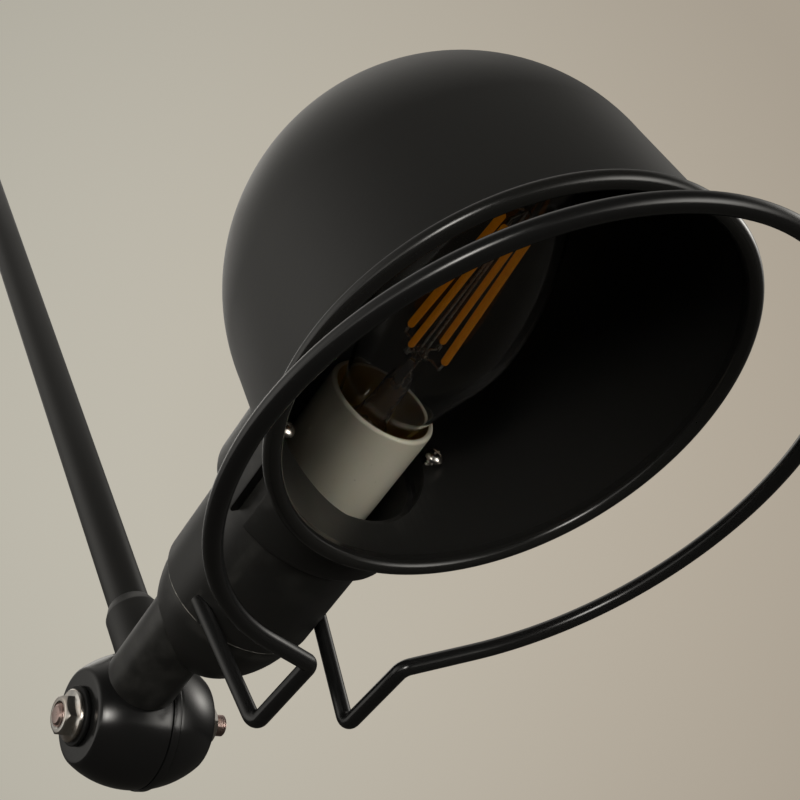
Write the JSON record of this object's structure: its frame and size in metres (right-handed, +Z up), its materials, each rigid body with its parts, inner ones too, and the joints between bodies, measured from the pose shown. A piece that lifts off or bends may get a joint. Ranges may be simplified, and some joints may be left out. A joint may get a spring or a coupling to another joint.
{
  "type": "swing arm wall light",
  "caption": "Wall light with a domed shade, guard ring and bare bulb lamp, held out from a round wall plate on two tube arms with bolted friction joints.",
  "frame": {"origin": "centre of the wall plate's back face, on the wall", "axes": "+Z up, -Y out of the wall towards the lamp, +X to the right for someone who faces the wall"},
  "size_m": [0.1375, 0.6525, 0.3467],
  "materials": {
    "black_paint": "satin black paint on steel",
    "black_ring": "dark fibre",
    "black_rubber": "matt black",
    "zinc_steel": "bright zinc plate",
    "insulator": "brown moulded insulator",
    "brass_parts": "plain brass",
    "nickel_cap": "nickel plate",
    "wire_cover": "wire covering",
    "terminal_plastic": "off-white",
    "porcelain": "cream glaze",
    "clear_glass": "clear",
    "filament": "amber coated strip"
  },
  "bodies": {
    "wall_base": {"wall_plate": "black_paint", "swivel_bolt": "zinc_steel", "swivel_nut": "zinc_steel", "swivel_washer": "zinc_steel", "terminal_block": "terminal_plastic"},
    "swivel": {"swivel_block": "black_paint", "stem_collar": "black_paint", "shoulder_far_shell": "black_paint", "shoulder_friction_ring": "black_ring", "shoulder_far_disc": "insulator", "shoulder_tracks": "brass_parts", "shoulder_bolt": "zinc_steel", "shoulder_washers": "black_rubber", "shoulder_nuts": "zinc_steel"},
    "rear_arm": {"shoulder_near_shell": "black_paint", "shoulder_near_disc": "insulator", "rear_arm_tube": "black_paint", "rear_arm_wires": "wire_cover", "rear_arm_collars": "black_paint", "elbow_near_shell": "black_paint", "elbow_near_disc": "insulator"},
    "front_arm": {"elbow_far_shell": "black_paint", "elbow_friction_ring": "black_ring", "elbow_far_disc": "insulator", "elbow_tracks": "brass_parts", "elbow_bolt": "zinc_steel", "elbow_washers": "black_rubber", "elbow_nuts": "zinc_steel", "front_arm_tube": "black_paint", "front_arm_wires": "wire_cover", "front_arm_collars": "black_paint", "head_far_shell": "black_paint", "head_friction_ring": "black_ring", "head_far_disc": "insulator", "head_tracks": "brass_parts", "head_bolt": "zinc_steel", "head_washers": "black_rubber", "head_nuts": "zinc_steel"},
    "head_joint": {"head_near_shell": "black_paint", "head_near_disc": "insulator", "head_sleeve": "black_paint", "rear_cap": "black_paint", "swivel_retainer": "zinc_steel"},
    "lamp_head": {"neck_housing": "black_paint", "guard_wire": "black_paint", "shade_collar": "black_paint", "shade": "black_paint", "shade_screws": "zinc_steel", "lampholder": "porcelain", "threaded_shell": "brass_parts", "centre_contact": "brass_parts", "holder_bracket": "zinc_steel", "holder_screws": "zinc_steel", "head_wires": "wire_cover", "bulb_cap": "nickel_cap", "bulb_contact": "brass_parts", "bulb_glass": "clear_glass", "bulb_stem": "clear_glass", "bulb_filaments": "filament", "bulb_supports": "zinc_steel"}
  },
  "joints": [
    {"name": "base_swivel", "type": "hinge", "parent": "wall_base", "child": "swivel", "pos_m": [0, -0.033, 0], "axis": [0, 0, 1], "range_deg": [-70, 70]},
    {"name": "shoulder", "type": "hinge", "parent": "swivel", "child": "rear_arm", "pos_m": [-0.0099, -0.095, 0], "axis": [1, 0, 0], "range_deg": [-20, 35]},
    {"name": "elbow", "type": "hinge", "parent": "rear_arm", "child": "front_arm", "pos_m": [-0.0099, -0.19761, 0.28191], "axis": [1, 0, 0], "range_deg": [-105, 15]},
    {"name": "head_tilt", "type": "hinge", "parent": "front_arm", "child": "head_joint", "pos_m": [-0.0099, -0.43664, -0.02625], "axis": [1, 0, 0], "range_deg": [-45, 80]},
    {"name": "head_turn", "type": "hinge", "parent": "head_joint", "child": "lamp_head", "pos_m": [-0.0088, -0.48818, 0.00447], "axis": [0, -0.859, 0.512], "range_deg": [-120, 120]}
  ]
}
